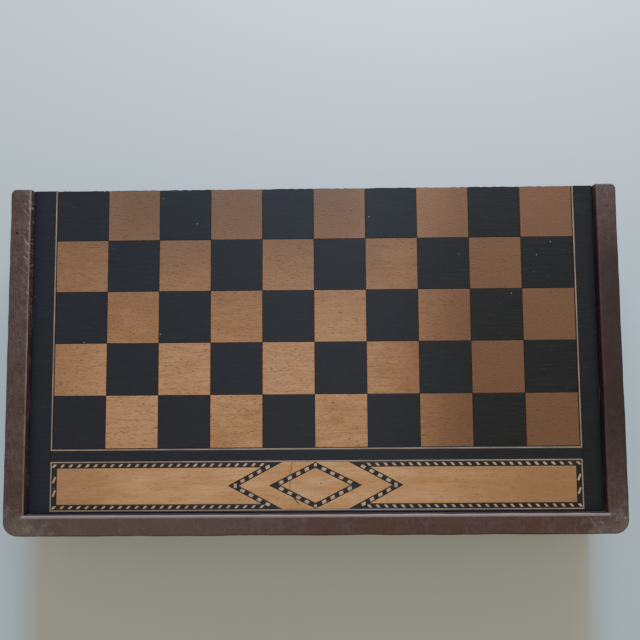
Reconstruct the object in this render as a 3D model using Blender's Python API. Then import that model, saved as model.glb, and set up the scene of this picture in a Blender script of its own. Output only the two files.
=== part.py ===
"""Folding draughts box in mahogany, with an inlaid half board on each outer face.

Two shallow trays close on each other and turn on two brass butt hinges along the back edge.
Opened flat and turned over, their outer faces join into one board of ten by ten squares.
Inside are the triangular points of the table game and a trough that holds the men.

Units are metres, +Z is up and -Y is the front. The origin is at the middle of the closed
box's footprint, on the surface that it stands on. Both trays are built by the same functions
in one local frame: its origin is on the hinge axis, -Y runs to the front edge, and +Z runs
outwards from the plane where the trays meet. The base tray is that frame turned over.
"""

import math

import bmesh
import bpy
from mathutils import Matrix

MM = 0.001

# The board
SQUARE = 44.0 * MM
COLUMNS = 10
ROWS = 5  # on each tray
LEFT_MARGIN = 20.2 * MM  # black surround between the squares and the left rail
RIGHT_MARGIN = 18.1 * MM
FIELD_LINE = 0.7 * MM  # between the squares and their light string
STRING = 1.2 * MM  # light string round the squares and round the band
STRIP_BEHIND_BAND = 8.8 * MM
STRIP_BEFORE_BAND = 1.3 * MM

# The inlaid band along the front
BANDING = 4.3 * MM  # width of the chequered banding
BAND_PANEL = 30.2 * MM  # light wood between the two runs of banding
CHEVRON_TIP = 73.0 * MM  # from the middle of the band to the tip of each arrow
CHEVRON_ANGLE = math.radians(28)
DIAMOND_ANGLE = math.radians(26.5)

# The trays
RAIL = 17.4 * MM
TRAY_HEIGHT = 43.0 * MM
RIM = 8.0 * MM  # how far the rails stand above the board
PANEL = 5.0 * MM
VENEER = 1.5 * MM  # sheets glued to the panel
INLAY = 0.6 * MM  # pieces let into a sheet
NECK = 0.9 * MM  # dark wood that ties the dark squares together at their corners
GROOVE = 4.0 * MM  # depth of the groove that holds the panel
GROOVE_STOP = 9.0 * MM  # solid wood left behind the groove at the back end
FRONT_CORNER = 12.0 * MM
BACK_CORNER = 5.0 * MM
ARRIS = 1.4 * MM  # worn rounding of the rails' outer edges
GAP = 0.3 * MM  # between pieces that touch
PARTING = 0.4 * MM  # between the closed trays

# The men and their trough
MEN_A_SIDE = 20
MAN_DIAMETER = 33.0 * MM
MAN_THICKNESS = 8.4 * MM
MAN_GROOVE = 0.9 * MM
TROUGH_PLAY = 3.0 * MM
DIVIDER = 4.0 * MM
DIVIDER_DROP = 1.5 * MM  # from the tray's edge down to the divider's
FINGER_DIP = 9.0 * MM
FINGER_WIDTH = 110.0 * MM

# The points of the table game
POINTS_A_SIDE = 6
POINT_LENGTH = 185.0 * MM
POINT_FOOT = 5.0 * MM

# The hinges
HINGE_INSET = 104.0 * MM
KNUCKLE = 10.0 * MM
KNUCKLES = 5
KNUCKLE_GAP = 0.3 * MM
BARREL_RADIUS = 2.6 * MM
BARREL_ROOM = 0.4 * MM
PIN_RADIUS = 1.2 * MM
PIN_ROOM = 0.3 * MM
LEAF = 1.2 * MM
LEAF_WIDTH = 11.0 * MM
AXIS_BEHIND = 0.3 * MM  # from the trays' back faces to the hinge axis
SCREW_SPREAD = 15.0 * MM
SCREW_FROM_AXIS = 9.0 * MM
SCREW_LENGTH = 12.0 * MM
SCREW_RADIUS = 1.2 * MM
SCREW_HEAD_RADIUS = 2.3 * MM
SLOT_WIDTH = 0.6 * MM
SLOT_DEPTH = 0.5 * MM

# The hooks on the front
CATCH_INSET = 104.0 * MM
HOOK_REACH = 22.0 * MM  # from the hook's pivot to the stud it closes on
HOOK_PLATE = 1.4 * MM
HOOK_EYE = 3.6 * MM
HOOK_JAW = 4.4 * MM
HOOK_TAIL = 7.0 * MM  # below the middle of the jaw
HOOK_ROOM = 0.4 * MM
HOOK_GROUND_CLEARANCE = 2.5 * MM
PIVOT_RADIUS = 1.3 * MM
STUD_RADIUS = 1.2 * MM
STUD_SLACK = 0.9 * MM
CATCH_HEAD_RADIUS = 2.8 * MM
CATCH_HEAD = 2.0 * MM
CATCH_GRIP = 9.0 * MM  # length of screw or stud inside the rail

# The pins that hold the panel down on the back rail
PANEL_PINS = (0.54, 4.5, 8.35)  # along the board, in squares from its left edge
PANEL_PIN_FROM_EDGE = 6.2 * MM
PANEL_PIN_RADIUS = 0.8 * MM
PANEL_PIN_HEAD = 1.3 * MM
PANEL_PIN_LENGTH = 20.0 * MM

# Worked out from the sizes above, in a tray's local frame
FIELD_HALF = COLUMNS * SQUARE / 2
FIELD_MIDDLE = (LEFT_MARGIN - RIGHT_MARGIN) / 2
FIELD_DEPTH = ROWS * SQUARE
BAND = BAND_PANEL + 2 * BANDING + 2 * STRING
BAND_HALF = FIELD_HALF + FIELD_LINE + STRING
INNER_HALF = FIELD_HALF + (LEFT_MARGIN + RIGHT_MARGIN) / 2
OUTER_HALF = INNER_HALF + RAIL
BOARD_DEPTH = FIELD_DEPTH + FIELD_LINE + STRING + STRIP_BEHIND_BAND + BAND + STRIP_BEFORE_BAND
BACK = -AXIS_BEHIND
RAIL_FACE = BACK - BOARD_DEPTH  # inner face of the front rail
FRONT = RAIL_FACE - RAIL
BACK_RAIL_FACE = BACK - RAIL

EDGE = PARTING / 2
TOP = EDGE + TRAY_HEIGHT
BOARD_TOP = TOP - RIM
VENEER_LOW = BOARD_TOP - VENEER
POCKET = BOARD_TOP - INLAY - GAP
PANEL_TOP = VENEER_LOW - GAP
PANEL_LOW = PANEL_TOP - PANEL
LINING_TOP = PANEL_LOW - GAP
FLOOR = LINING_TOP - INLAY

FIELD_FRONT = BACK - FIELD_DEPTH
STRING_FRONT = FIELD_FRONT - FIELD_LINE - STRING
BAND_BACK = STRING_FRONT - STRIP_BEHIND_BAND
BAND_FRONT = BAND_BACK - BAND
BAND_MIDDLE = (BAND_BACK + BAND_FRONT) / 2

TROUGH = MAN_DIAMETER + TROUGH_PLAY
DIVIDER_FRONT = RAIL_FACE + TROUGH
DIVIDER_BACK = DIVIDER_FRONT + DIVIDER

HINGE_LENGTH = KNUCKLE * KNUCKLES
CATCH_PROUD = HOOK_ROOM + HOOK_PLATE + HOOK_ROOM + CATCH_HEAD
AXIS_Y = (CATCH_PROUD - FRONT - BARREL_RADIUS) / 2
AXIS_Z = TOP

COPLANAR_MARGIN = 1.0 * MM  # how far a cutter runs past the wall that it cuts
ROUND_STEPS = 24


def clear_scene():
    for old in list(bpy.data.objects):
        bpy.data.objects.remove(old)


def finish(name, colour, roughness, metallic=0.0):
    """The material of that name, made the first time that it is asked for."""
    made = bpy.data.materials.get(name)
    if made is None:
        made = bpy.data.materials.new(name)
        made.use_nodes = True
        shader = made.node_tree.nodes["Principled BSDF"]
        shader.inputs["Base Color"].default_value = (*colour, 1.0)
        shader.inputs["Roughness"].default_value = roughness
        shader.inputs["Metallic"].default_value = metallic
    return made


def mahogany():
    return finish("mahogany", (0.085, 0.040, 0.028), 0.5)


def black_veneer():
    return finish("black_veneer", (0.018, 0.020, 0.024), 0.35)


def light_veneer():
    return finish("light_veneer", (0.42, 0.25, 0.13), 0.45)


def string_wood():
    return finish("string_wood", (0.50, 0.36, 0.22), 0.45)


def deal():
    return finish("deal", (0.36, 0.23, 0.12), 0.65)


def brass():
    return finish("brass", (0.62, 0.42, 0.16), 0.35, 1.0)


def steel():
    return finish("steel", (0.20, 0.19, 0.18), 0.45, 1.0)


def boxwood():
    return finish("boxwood", (0.55, 0.36, 0.17), 0.4)


def ebonised():
    return finish("ebonised", (0.020, 0.017, 0.015), 0.35)


def place(name, shape, material, parent, smooth=False):
    """Makes a bmesh into a named object in its parent's frame."""
    bmesh.ops.recalc_face_normals(shape, faces=shape.faces)
    mesh = bpy.data.meshes.new(name)
    shape.to_mesh(mesh)
    shape.free()
    if smooth:
        mesh.shade_smooth()
        mesh.set_sharp_from_angle(angle=math.radians(35))
    mesh.materials.append(material)
    made = bpy.data.objects.new(name, mesh)
    made.parent = parent
    bpy.context.scene.collection.objects.link(made)
    return made


def cut(target, name, shape):
    """Takes a shape away from an object, with a hidden cutter."""
    cutter = place(f"{target.name}.{name}", shape, deal(), target.parent)
    cutter.hide_render = True
    cutter.display_type = "WIRE"
    cutter.location = target.location
    boolean = target.modifiers.new(name, "BOOLEAN")
    boolean.operation = "DIFFERENCE"
    boolean.solver = "EXACT"
    boolean.object = cutter


def join(target, name, shape):
    """Adds a shape to an object, with a hidden copy of it."""
    extra = place(f"{target.name}.{name}", shape, deal(), target.parent)
    extra.hide_render = True
    extra.display_type = "WIRE"
    extra.location = target.location
    boolean = target.modifiers.new(name, "BOOLEAN")
    boolean.operation = "UNION"
    boolean.solver = "EXACT"
    boolean.object = extra


def arc(centre, radius, start, end, steps):
    """Points on an arc, with its ends in degrees."""
    turns = [math.radians(start + (end - start) * i / steps) for i in range(steps + 1)]
    return [(centre[0] + radius * math.cos(a), centre[1] + radius * math.sin(a)) for a in turns]


def box_outline(left, right, front, back):
    return [(left, front), (right, front), (right, back), (left, back)]


def raised(shape, high):
    """Makes flat faces at one height into a closed solid that reaches up to another."""
    low = next(iter(shape.verts)).co.z
    grown = bmesh.ops.extrude_face_region(shape, geom=shape.faces[:])
    top = [item for item in grown["geom"] if isinstance(item, bmesh.types.BMVert)]
    bmesh.ops.translate(shape, verts=top, vec=(0, 0, high - low))
    bmesh.ops.recalc_face_normals(shape, faces=shape.faces)
    return shape


def prism(outline, low, high):
    """A flat outline in X and Y, extruded from one height to another."""
    shape = bmesh.new()
    shape.faces.new([shape.verts.new((x, y, low)) for x, y in outline])
    return raised(shape, high)


def ring(outer, inner, low, high):
    """The wall between two closed outlines that have the same number of corners."""
    shape = bmesh.new()
    loops = [[shape.verts.new((x, y, low)) for x, y in outline] for outline in (outer, inner)]
    turns = [loop[1:] + loop[:1] for loop in loops]
    for a, b, c, d in zip(loops[0], turns[0], turns[1], loops[1]):
        shape.faces.new((a, b, c, d))
    return raised(shape, high)


def block(left, right, front, back, low, high):
    return prism(box_outline(left, right, front, back), low, high)


def turned(profile, steps=ROUND_STEPS):
    """A profile of radius and height, from the axis back to the axis, turned about Z."""
    shape = bmesh.new()
    points = [shape.verts.new((radius, 0, height)) for radius, height in profile]
    lines = [shape.edges.new(pair) for pair in zip(points, points[1:])]
    bmesh.ops.spin(
        shape, geom=points + lines, cent=(0, 0, 0), axis=(0, 0, 1),
        angle=math.tau, steps=steps, use_merge=True,
    )
    bmesh.ops.remove_doubles(shape, verts=shape.verts, dist=0.001 * MM)
    return shape


def rod(radius, low, high, steps=ROUND_STEPS):
    return turned([(0, low), (radius, low), (radius, high), (0, high)], steps)


def moved(shape, matrix):
    bmesh.ops.transform(shape, matrix=matrix, verts=shape.verts)
    return shape


def along_x(shape):
    return moved(shape, Matrix.Rotation(math.radians(90), 4, "Y"))


def along_front(shape):
    """Turns a shape that points up so that it points out of the front, along -Y."""
    return moved(shape, Matrix.Rotation(math.radians(90), 4, "X"))


def at(shape, x=0.0, y=0.0, z=0.0):
    return moved(shape, Matrix.Translation((x, y, z)))


def worn(shape, joint_y):
    """Rounds a rail's top edges, apart from those that lie in the joint at that depth."""
    edges = [
        edge for edge in shape.edges
        if all(abs(corner.co.z - TOP) < 0.01 * MM for corner in edge.verts)
        and any(abs(corner.co.y - joint_y) > 0.01 * MM for corner in edge.verts)
    ]
    bmesh.ops.bevel(
        shape, geom=edges, offset=ARRIS, offset_type="OFFSET", segments=2,
        profile=0.5, affect="EDGES", clamp_overlap=True, material=-1,
    )
    return shape


def groove_cutter(left, right, front, back):
    return block(left, right, front, back, PANEL_LOW - GAP, PANEL_TOP + GAP)


def mirrored(shape):
    moved(shape, Matrix.Scale(-1, 4, (1, 0, 0)))
    bmesh.ops.reverse_faces(shape, faces=shape.faces)
    return shape


def front_rail(tray, parent):
    """The front rail runs the full width and is rounded at its ends."""
    joint = RAIL_FACE - GAP / 2
    centre = (OUTER_HALF - FRONT_CORNER, FRONT + FRONT_CORNER)
    outline = (
        arc((-centre[0], centre[1]), FRONT_CORNER, 180, 270, 8)
        + arc(centre, FRONT_CORNER, 270, 360, 8)
        + [(OUTER_HALF, joint), (-OUTER_HALF, joint)]
    )
    rail = place(f"{tray}_front_rail", worn(prism(outline, EDGE, TOP), joint), mahogany(), parent)
    reach = INNER_HALF + GROOVE
    cut(rail, "groove", groove_cutter(-reach, reach, joint - GROOVE, joint + COPLANAR_MARGIN))
    return rail


def side_rail(tray, parent, side):
    """A side rail butts on the front rail, and its back end is rounded."""
    joint = RAIL_FACE + GAP / 2
    corner = (-OUTER_HALF + BACK_CORNER, BACK - BACK_CORNER)
    outline = (
        [(-OUTER_HALF, joint), (-INNER_HALF, joint), (-INNER_HALF, BACK)]
        + arc(corner, BACK_CORNER, 90, 180, 6)
    )
    shape = worn(prism(outline, EDGE, TOP), joint)
    groove = groove_cutter(
        -INNER_HALF - GROOVE, -INNER_HALF + COPLANAR_MARGIN,
        joint - COPLANAR_MARGIN, BACK - GROOVE_STOP,
    )
    if side > 0:
        shape, groove = mirrored(shape), mirrored(groove)
    name = "left" if side < 0 else "right"
    rail = place(f"{tray}_{name}_rail", shape, mahogany(), parent)
    cut(rail, "groove", groove)
    return rail


def back_rail(tray, parent):
    half = INNER_HALF - GAP
    shape = block(-half, half, BACK_RAIL_FACE, BACK, EDGE, PANEL_LOW - GAP)
    rail = place(f"{tray}_back_rail", shape, mahogany(), parent)
    for number, x in enumerate(hinge_places()):
        plate = LEAF + GAP
        reach = HINGE_LENGTH / 2 + GAP
        mortise = block(
            x - reach, x + reach, -BARREL_RADIUS - LEAF_WIDTH - BARREL_ROOM - GAP,
            BACK + COPLANAR_MARGIN, EDGE - COPLANAR_MARGIN, EDGE + plate,
        )
        cut(rail, f"mortise_{number}", mortise)
        relief = rod(BARREL_RADIUS + BARREL_ROOM, -reach, reach)
        cut(rail, f"relief_{number}", at(along_x(relief), x=x))
        for hand in (-1, 1):
            pilot = rod(SCREW_RADIUS + GAP, EDGE, EDGE + SCREW_LENGTH + COPLANAR_MARGIN, 12)
            cut(rail, f"pilot_{number}_{hand}", at(pilot, x + hand * SCREW_SPREAD, -SCREW_FROM_AXIS))
    return rail


def board_panel(tray, parent):
    """The softwood panel: its tongues run in the grooves, and it lies on the back rail."""
    tongue = INNER_HALF + GROOVE - GAP
    bare = INNER_HALF - GAP
    front = RAIL_FACE - GROOVE + GAP
    stop = BACK - GROOVE_STOP - GAP
    outline = [
        (-tongue, front), (tongue, front), (tongue, stop),
        (bare, stop), (bare, BACK), (-bare, BACK), (-bare, stop), (-tongue, stop),
    ]
    return place(f"{tray}_panel", prism(outline, PANEL_LOW, PANEL_TOP), deal(), parent)


def veneer_sheet(name, outline, material, parent):
    return place(name, prism(outline, VENEER_LOW, BOARD_TOP), material, parent)


def window(outline):
    return prism(outline, VENEER_LOW - COPLANAR_MARGIN, BOARD_TOP + COPLANAR_MARGIN)


def chequer(first_dark, inset, neck, low, high):
    """The dark squares as one solid, tied by necks where their corners meet."""
    shape = bmesh.new()

    def corner(column, row, right, back):
        """The two points that cut off one corner of a square, in the order of the other square's."""
        x = FIELD_MIDDLE - FIELD_HALF + (column + right) * SQUARE
        y = BACK - (row + 1 - back) * SQUARE
        to_x, to_y = (-1 if right else 1), (-1 if back else 1)
        near = (x + to_x * inset, y + to_y * (inset + neck))
        far = (x + to_x * (inset + neck), y + to_y * inset)
        return near, far

    def face(points):
        shape.faces.new([shape.verts.new((x, y, low)) for x, y in points])

    for row in range(ROWS):
        for column in range(COLUMNS):
            if (row + column) % 2 != first_dark:
                continue
            points = [
                *corner(column, row, 0, 0), *reversed(corner(column, row, 1, 0)),
                *corner(column, row, 1, 1), *reversed(corner(column, row, 0, 1)),
            ]
            points = points[1:] + points[:1]
            face(points)
            for step in (-1, 1):
                if row + 1 < ROWS and 0 <= column + step < COLUMNS:
                    right = int(step > 0)
                    mine = corner(column, row, right, 0)
                    other = corner(column + step, row + 1, 1 - right, 1)
                    face([mine[0], mine[1], other[0], other[1]])
    bmesh.ops.remove_doubles(shape, verts=shape.verts, dist=0.01 * MM)
    return raised(shape, high)


def board_veneers(tray, parent, first_dark):
    """The squares, the string round them and the black surround, all in one plane."""
    gap = GAP / 2
    lined = FIELD_HALF + FIELD_LINE
    left, right = FIELD_MIDDLE - lined, FIELD_MIDDLE + lined
    front = FIELD_FRONT - FIELD_LINE
    squares = veneer_sheet(
        f"{tray}_light_squares", box_outline(left + gap, right - gap, front + gap, BACK),
        light_veneer(), parent,
    )
    pockets = chequer(first_dark, 0, NECK + GAP, POCKET, BOARD_TOP + COPLANAR_MARGIN)
    cut(squares, "pockets", pockets)
    dark = chequer(first_dark, GAP, NECK - GAP, BOARD_TOP - INLAY, BOARD_TOP)
    place(f"{tray}_dark_squares", dark, black_veneer(), parent)

    wide, deep = STRING - gap, front - STRING + gap
    string = [
        (left - wide, BACK), (left - wide, deep), (right + wide, deep), (right + wide, BACK),
        (right + gap, BACK), (right + gap, front - gap), (left - gap, front - gap), (left - gap, BACK),
    ]
    veneer_sheet(f"{tray}_field_string", string, string_wood(), parent)

    wide, deep = STRING + gap, front - STRING - gap
    edge = INNER_HALF - GAP
    outline = [
        (-edge, BACK), (-edge, RAIL_FACE + GAP), (edge, RAIL_FACE + GAP), (edge, BACK),
        (right + wide, BACK), (right + wide, deep), (left - wide, deep), (left - wide, BACK),
    ]
    surround = veneer_sheet(f"{tray}_surround", outline, black_veneer(), parent)
    left, right = FIELD_MIDDLE - BAND_HALF, FIELD_MIDDLE + BAND_HALF
    band = box_outline(left - gap, right + gap, BAND_FRONT - gap, BAND_BACK + gap)
    cut(surround, "band", window(band))


def shrunk(outline, by):
    """A closed outline moved inwards by a distance, or outwards by a negative one."""
    area = sum(a[0] * b[1] - b[0] * a[1] for a, b in zip(outline, outline[1:] + outline[:1]))
    hand = 1 if area > 0 else -1
    lines = []
    for a, b in zip(outline, outline[1:] + outline[:1]):
        dx, dy = b[0] - a[0], b[1] - a[1]
        length = math.hypot(dx, dy)
        shift = (-dy / length * by * hand, dx / length * by * hand)
        lines.append(((a[0] + shift[0], a[1] + shift[1]), (dx, dy)))
    corners = []
    for (p, d), (q, e) in zip(lines[-1:] + lines[:-1], lines):
        cross = d[0] * e[1] - d[1] * e[0]
        t = ((q[0] - p[0]) * e[1] - (q[1] - p[1]) * e[0]) / cross
        corners.append((p[0] + t * d[0], p[1] + t * d[1]))
    return corners


def chevron_outline(side):
    """The light panel at one end of the band, notched by the arrow that points away from it."""
    end = BAND_HALF - STRING - BANDING
    shoulder = CHEVRON_TIP - BAND_PANEL / 2 / math.tan(CHEVRON_ANGLE)
    low, high = BAND_MIDDLE - BAND_PANEL / 2, BAND_MIDDLE + BAND_PANEL / 2
    points = [(end, low), (end, high), (shoulder, high), (CHEVRON_TIP, BAND_MIDDLE), (shoulder, low)]
    return [(FIELD_MIDDLE + side * x, y) for x, y in points]


def diamond_outline():
    high = BAND_PANEL / 2 + BANDING
    wide = high / math.tan(DIAMOND_ANGLE)
    return [
        (FIELD_MIDDLE + wide, BAND_MIDDLE), (FIELD_MIDDLE, BAND_MIDDLE + high),
        (FIELD_MIDDLE - wide, BAND_MIDDLE), (FIELD_MIDDLE, BAND_MIDDLE - high),
    ]


def inlaid_band(tray, parent):
    """The front band: a light ground with loops of chequered banding let into it."""
    gap = GAP / 2
    left, right = FIELD_MIDDLE - BAND_HALF, FIELD_MIDDLE + BAND_HALF
    band = box_outline(left, right, BAND_FRONT, BAND_BACK)
    string = ring(shrunk(band, gap), shrunk(band, STRING - gap), VENEER_LOW, BOARD_TOP)
    place(f"{tray}_band_string", string, string_wood(), parent)
    ground = veneer_sheet(f"{tray}_band_ground", shrunk(band, STRING + gap), light_veneer(), parent)
    loops = [
        ("banding_left", shrunk(chevron_outline(-1), -BANDING), chevron_outline(-1)),
        ("banding_right", shrunk(chevron_outline(1), -BANDING), chevron_outline(1)),
        ("diamond", diamond_outline(), shrunk(diamond_outline(), BANDING)),
    ]
    for name, outer, inner in loops:
        # The loops stop short of the ground's edges, so that the ground stays one piece.
        outer = shrunk(outer, 2 * GAP)
        channel = ring(outer, inner, POCKET, BOARD_TOP + COPLANAR_MARGIN)
        cut(ground, name, channel)
        inlay = ring(shrunk(outer, gap), shrunk(inner, -gap), BOARD_TOP - INLAY, BOARD_TOP)
        place(f"{tray}_{name}", inlay, black_veneer(), parent)


def pin_places():
    return [FIELD_MIDDLE - FIELD_HALF + column * SQUARE for column in PANEL_PINS]


def pin_hole(radius, low, x):
    return at(rod(radius, low, BOARD_TOP + COPLANAR_MARGIN, 12), x, BACK - PANEL_PIN_FROM_EDGE)


def panel_pins(tray, parent):
    """Small nails through the board into the back rail, each with its hole."""
    low = BOARD_TOP - PANEL_PIN_LENGTH
    for number, x in enumerate(pin_places(), 1):
        head = BOARD_TOP - GAP / 3
        profile = [
            (0, low), (PANEL_PIN_RADIUS, low + 2 * PANEL_PIN_RADIUS),
            (PANEL_PIN_RADIUS, head - INLAY), (PANEL_PIN_HEAD, head - INLAY / 2),
            (PANEL_PIN_HEAD, head), (0, head),
        ]
        pin = at(turned(profile, 12), x, BACK - PANEL_PIN_FROM_EDGE)
        place(f"{tray}_panel_pin_{number}", pin, steel(), parent, smooth=True)
        for piece in ("light_squares", "dark_squares"):
            hole = pin_hole(PANEL_PIN_HEAD + GAP, VENEER_LOW - COPLANAR_MARGIN, x)
            cut(bpy.data.objects[f"{tray}_{piece}"], f"pin_hole_{number}", hole)
        for piece in ("panel", "back_rail"):
            hole = pin_hole(PANEL_PIN_RADIUS + GAP, low - COPLANAR_MARGIN, x)
            cut(bpy.data.objects[f"{tray}_{piece}"], f"pin_hole_{number}", hole)


def point_combs(tray, parent):
    """Six inlaid points at each end of the tray, joined at the foot along the side rail."""
    back, front = BACK_RAIL_FACE - GAP, DIVIDER_BACK + GAP
    pitch = (back - front) / POINTS_A_SIDE
    foot, root = INNER_HALF - GAP, INNER_HALF - GAP - POINT_FOOT
    outline = [(foot, front), (foot, back), (root, back)]
    for number in range(POINTS_A_SIDE):
        start = back - number * pitch
        outline += [(foot - POINT_LENGTH, start - pitch / 2), (root, start - pitch)]
    for side, hand in ((-1, "left"), (1, "right")):
        comb = prism([(side * x, y) for x, y in outline], FLOOR, LINING_TOP)
        place(f"{tray}_points_{hand}", comb, black_veneer(), parent)


def divider(tray, parent):
    """The thin rail that shuts off the trough, dipped in the middle for a finger."""
    half = INNER_HALF - GAP
    low, high = EDGE + DIVIDER_DROP, FLOOR - GAP
    rise = FINGER_DIP
    radius = ((FINGER_WIDTH / 2) ** 2 + rise ** 2) / (2 * rise)
    sweep = math.degrees(math.asin(FINGER_WIDTH / 2 / radius))
    dip = arc((0, low + rise - radius), radius, 90 - sweep, 90 + sweep, 12)
    outline = [(-half, low)] + dip[::-1] + [(half, low), (half, high), (-half, high)]
    shape = along_front(prism(outline, -DIVIDER_BACK, -DIVIDER_FRONT))
    return place(f"{tray}_divider", shape, mahogany(), parent)


def men_column(name, material, parent, side):
    """One side's men, lying on edge against each other in the trough."""
    radius, groove = MAN_DIAMETER / 2, MAN_GROOVE
    length = MEN_A_SIDE * MAN_THICKNESS
    profile = [(0, 0), (radius - groove, 0)]
    for number in range(MEN_A_SIDE):
        start = number * MAN_THICKNESS
        profile += [
            (radius, start + groove), (radius, start + MAN_THICKNESS - groove),
            (radius - groove, start + MAN_THICKNESS),
        ]
    profile += [(0, length)]
    column = along_x(turned(profile, 16))
    start = INNER_HALF - 2 * GAP - length if side > 0 else -INNER_HALF + 2 * GAP
    middle = RAIL_FACE + TROUGH / 2
    at(column, start, middle, FLOOR - GAP - radius)
    return place(name, column, material, parent, smooth=True)


def hinge_places():
    return (-OUTER_HALF + HINGE_INSET, OUTER_HALF - HINGE_INSET)


def screw_hole(x):
    """The countersunk hole in a hinge leaf, as a cutter."""
    outer, inner = SCREW_HEAD_RADIUS + GAP, SCREW_RADIUS + GAP
    low, high = EDGE - COPLANAR_MARGIN, EDGE + LEAF + COPLANAR_MARGIN
    sink = EDGE + outer - inner
    profile = [(0, low), (outer, low), (outer, EDGE), (inner, sink), (inner, high), (0, high)]
    return at(turned(profile, 16), x, -SCREW_FROM_AXIS)


def hinge_leaf(tray, parent, number, x, own_knuckles):
    """A leaf and its own knuckles, which leave room for the other leaf's."""
    near = -BARREL_RADIUS - BARREL_ROOM
    half = HINGE_LENGTH / 2
    plate = block(x - half, x + half, near - LEAF_WIDTH, near, EDGE, EDGE + LEAF)
    leaf = place(f"{tray}_hinge_leaf_{number}", plate, brass(), parent)
    wall = (BARREL_RADIUS + PIN_RADIUS + PIN_ROOM) / 2
    for index in own_knuckles:
        start = x - half + index * KNUCKLE + KNUCKLE_GAP / 2
        end = start + KNUCKLE - KNUCKLE_GAP
        arm = block(start, end, near - LEAF / 2, -wall, EDGE, EDGE + LEAF)
        join(leaf, f"arm_{index}", arm)
        join(leaf, f"knuckle_{index}", along_x(rod(BARREL_RADIUS, start, end)))
    bore = rod(PIN_RADIUS + PIN_ROOM, x - half - COPLANAR_MARGIN, x + half + COPLANAR_MARGIN)
    cut(leaf, "bore", along_x(bore))
    for hand in (-1, 1):
        cut(leaf, f"screw_hole_{hand}", screw_hole(x + hand * SCREW_SPREAD))
    return leaf


def hinge_screws(tray, parent, number, x):
    for hand, letter in ((-1, "a"), (1, "b")):
        top = EDGE + GAP / 2
        neck = top + SCREW_HEAD_RADIUS - SCREW_RADIUS
        end = EDGE + SCREW_LENGTH
        profile = [
            (0, top), (SCREW_HEAD_RADIUS, top), (SCREW_RADIUS, neck),
            (SCREW_RADIUS, end - 3 * SCREW_RADIUS), (0, end),
        ]
        place_x, place_y = x + hand * SCREW_SPREAD, -SCREW_FROM_AXIS
        screw = place(
            f"{tray}_hinge_screw_{number}{letter}", at(turned(profile, 12), place_x, place_y),
            brass(), parent,
        )
        reach = SCREW_HEAD_RADIUS + COPLANAR_MARGIN
        slot = block(
            place_x - reach, place_x + reach, place_y - SLOT_WIDTH / 2, place_y + SLOT_WIDTH / 2,
            top - COPLANAR_MARGIN, top + SLOT_DEPTH,
        )
        cut(screw, "slot", slot)


def hinges(lid, base):
    for number, x in enumerate(hinge_places(), 1):
        hinge_leaf("base", base, number, x, range(0, KNUCKLES, 2))
        hinge_leaf("lid", lid, number, x, range(1, KNUCKLES, 2))
        hinge_screws("base", base, number, x)
        hinge_screws("lid", lid, number, x)
        half = HINGE_LENGTH / 2
        dome = PIN_RADIUS / 2
        profile = [
            (0, -half), (PIN_RADIUS - dome, -half), (PIN_RADIUS, -half + dome),
            (PIN_RADIUS, half - dome), (PIN_RADIUS - dome, half), (0, half),
        ]
        place(f"hinge_pin_{number}", at(along_x(turned(profile)), x=x), brass(), base, smooth=True)


def catch_heights():
    """Heights of the pivot and the stud above the surface the box stands on."""
    pivot = HOOK_GROUND_CLEARANCE + HOOK_REACH + HOOK_TAIL
    return pivot, pivot + HOOK_REACH


def catch_places():
    return (-OUTER_HALF + CATCH_INSET, OUTER_HALF - CATCH_INSET)


def hook_outline():
    """The hook as it hangs: its eye at the origin, its jaw below and open towards -X."""
    middle = -HOOK_REACH
    throat = STUD_RADIUS + STUD_SLACK
    arm = HOOK_EYE / 2.4
    lip = 0.6 * HOOK_JAW
    lip_angle = math.degrees(math.acos(-lip / HOOK_JAW))
    eye = arc((0, 0), HOOK_EYE, -60, 240, 14)
    upper_lip = arc((0, middle), HOOK_JAW, 115, lip_angle, 3)
    inside = arc((0, middle), throat, 90, -90, 8)
    lower_lip = arc((0, middle), HOOK_JAW, -lip_angle, -105, 3)
    tail = arc((0, middle - HOOK_TAIL + arm), arm * 0.8, 200, 340, 5)
    outside = arc((0, middle), HOOK_JAW, -75, 62, 9)
    return (
        eye + [(-arm, -2 * HOOK_EYE), (-arm * 0.9, middle / 2 - HOOK_EYE)]
        + upper_lip + [(-lip, middle + throat)] + inside + [(-lip, middle - throat)]
        + lower_lip + tail + outside
        + [(arm * 0.9, middle / 2 - HOOK_EYE), (arm, -2 * HOOK_EYE)]
    )


def catches(lid_front, base_front, hooks):
    """On each side, a hook that hangs from the base tray and the stud that it closes on."""
    for (x, hand), pivot in zip(((catch_places()[0], "left"), (catch_places()[1], "right")), hooks):
        shape = along_front(prism(hook_outline(), HOOK_ROOM, HOOK_ROOM + HOOK_PLATE))
        hook = place(f"hook_{hand}", shape, brass(), pivot)
        bore = rod(PIVOT_RADIUS + GAP, -COPLANAR_MARGIN, CATCH_PROUD)
        cut(hook, "eye", along_front(bore))
        place(f"hook_screw_{hand}", catch_pin(PIVOT_RADIUS, x), brass(), base_front, smooth=True)
        place(f"stud_{hand}", catch_pin(STUD_RADIUS, x), brass(), lid_front, smooth=True)


def catch_pin(radius, x):
    """A round-headed screw or stud that stands out of the front, with its tip in the rail."""
    head = HOOK_ROOM + HOOK_PLATE + HOOK_ROOM
    dome = arc((CATCH_HEAD_RADIUS - CATCH_HEAD * 0.75, head + CATCH_HEAD * 0.25),
               CATCH_HEAD * 0.75, 0, 90, 4)
    profile = (
        [(0, -CATCH_GRIP), (radius, -CATCH_GRIP + 2 * radius), (radius, head), (CATCH_HEAD_RADIUS, head)]
        + dome + [(0, head + CATCH_HEAD)]
    )
    return at(along_front(turned(profile, 20)), x=x)


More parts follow.
